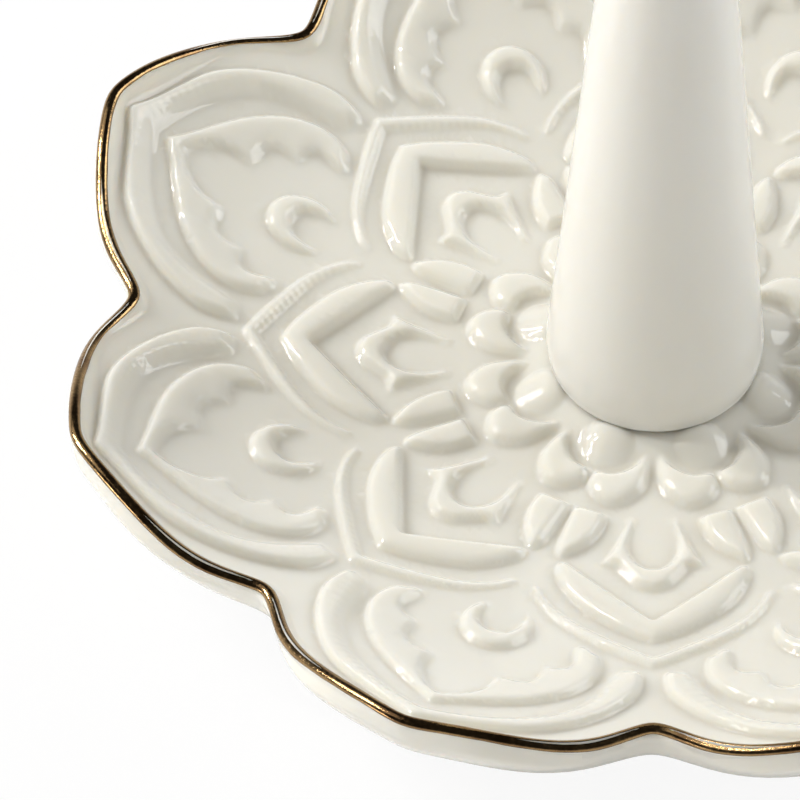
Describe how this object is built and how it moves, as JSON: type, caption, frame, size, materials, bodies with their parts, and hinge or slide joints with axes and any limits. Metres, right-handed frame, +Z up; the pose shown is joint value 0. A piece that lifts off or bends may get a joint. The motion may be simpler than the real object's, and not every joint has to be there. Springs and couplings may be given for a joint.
{
  "type": "ring dish",
  "caption": "Shallow lobed porcelain trinket dish with a gilded wavy lip, a raised mandala relief and a tall tapered cone at its centre for finger rings.",
  "frame": {"origin": "centre of the foot ring's resting plane", "axes": "+Z up along the ring cone; -Y towards the front notch of the rim; a lobe's tip lies half a lobe either side of it"},
  "size_m": [0.121, 0.121, 0.0804],
  "materials": {
    "dish_glaze": "clear glossy glaze over warm white porcelain",
    "cone_glaze": "clear glossy glaze over warm white porcelain",
    "bond_slip": "glaze pooled over fired slip"
  },
  "bodies": {
    "root": {"dish": "dish_glaze", "ring_cone": "cone_glaze", "cone_bond": "bond_slip"}
  },
  "joints": []
}
